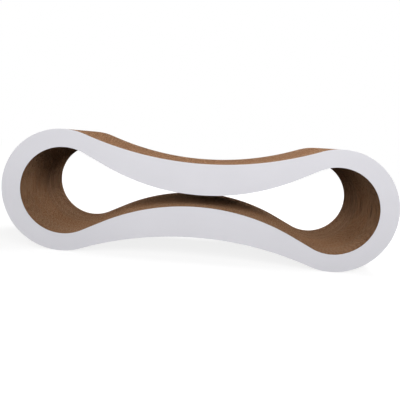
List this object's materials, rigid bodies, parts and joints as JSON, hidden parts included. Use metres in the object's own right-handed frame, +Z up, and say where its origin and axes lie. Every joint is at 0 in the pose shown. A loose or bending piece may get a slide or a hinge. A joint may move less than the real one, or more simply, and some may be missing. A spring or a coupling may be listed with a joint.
{
  "type": "cardboard cat scratcher",
  "caption": "Cat scratching lounge shaped like a figure of eight on its side: die-cut corrugated boards glued into a stack between white paperboard faces.",
  "frame": {"origin": "on the floor, midway between the round ends and midway between the two faces", "axes": "+X along the length, -Y out of the front face, +Z up"},
  "size_m": [0.8638, 0.267, 0.2667],
  "materials": {
    "white_paperboard": "smooth matte white paper",
    "kraft_corrugated": "raw kraft board with open flutes at the cut edge"
  },
  "bodies": {
    "root": {"front_face_sheet": "white_paperboard", "rear_face_sheet": "white_paperboard", "board_01": "kraft_corrugated", "board_02": "kraft_corrugated", "board_03": "kraft_corrugated", "board_04": "kraft_corrugated", "board_05": "kraft_corrugated", "board_06": "kraft_corrugated", "board_07": "kraft_corrugated", "board_08": "kraft_corrugated", "board_09": "kraft_corrugated", "board_10": "kraft_corrugated", "board_11": "kraft_corrugated", "board_12": "kraft_corrugated", "board_13": "kraft_corrugated", "board_14": "kraft_corrugated", "board_15": "kraft_corrugated", "board_16": "kraft_corrugated", "board_17": "kraft_corrugated", "board_18": "kraft_corrugated", "board_19": "kraft_corrugated", "board_20": "kraft_corrugated", "board_21": "kraft_corrugated", "board_22": "kraft_corrugated", "board_23": "kraft_corrugated", "board_24": "kraft_corrugated", "board_25": "kraft_corrugated", "board_26": "kraft_corrugated", "board_27": "kraft_corrugated", "board_28": "kraft_corrugated", "board_29": "kraft_corrugated", "board_30": "kraft_corrugated", "board_31": "kraft_corrugated", "board_32": "kraft_corrugated", "board_33": "kraft_corrugated", "board_34": "kraft_corrugated", "board_35": "kraft_corrugated", "board_36": "kraft_corrugated", "board_37": "kraft_corrugated", "board_38": "kraft_corrugated", "board_39": "kraft_corrugated", "board_40": "kraft_corrugated", "board_41": "kraft_corrugated", "board_42": "kraft_corrugated", "board_43": "kraft_corrugated", "board_44": "kraft_corrugated", "board_45": "kraft_corrugated", "board_46": "kraft_corrugated", "board_47": "kraft_corrugated", "board_48": "kraft_corrugated", "board_49": "kraft_corrugated", "board_50": "kraft_corrugated", "board_51": "kraft_corrugated", "board_52": "kraft_corrugated", "board_53": "kraft_corrugated", "board_54": "kraft_corrugated"}
  },
  "joints": []
}
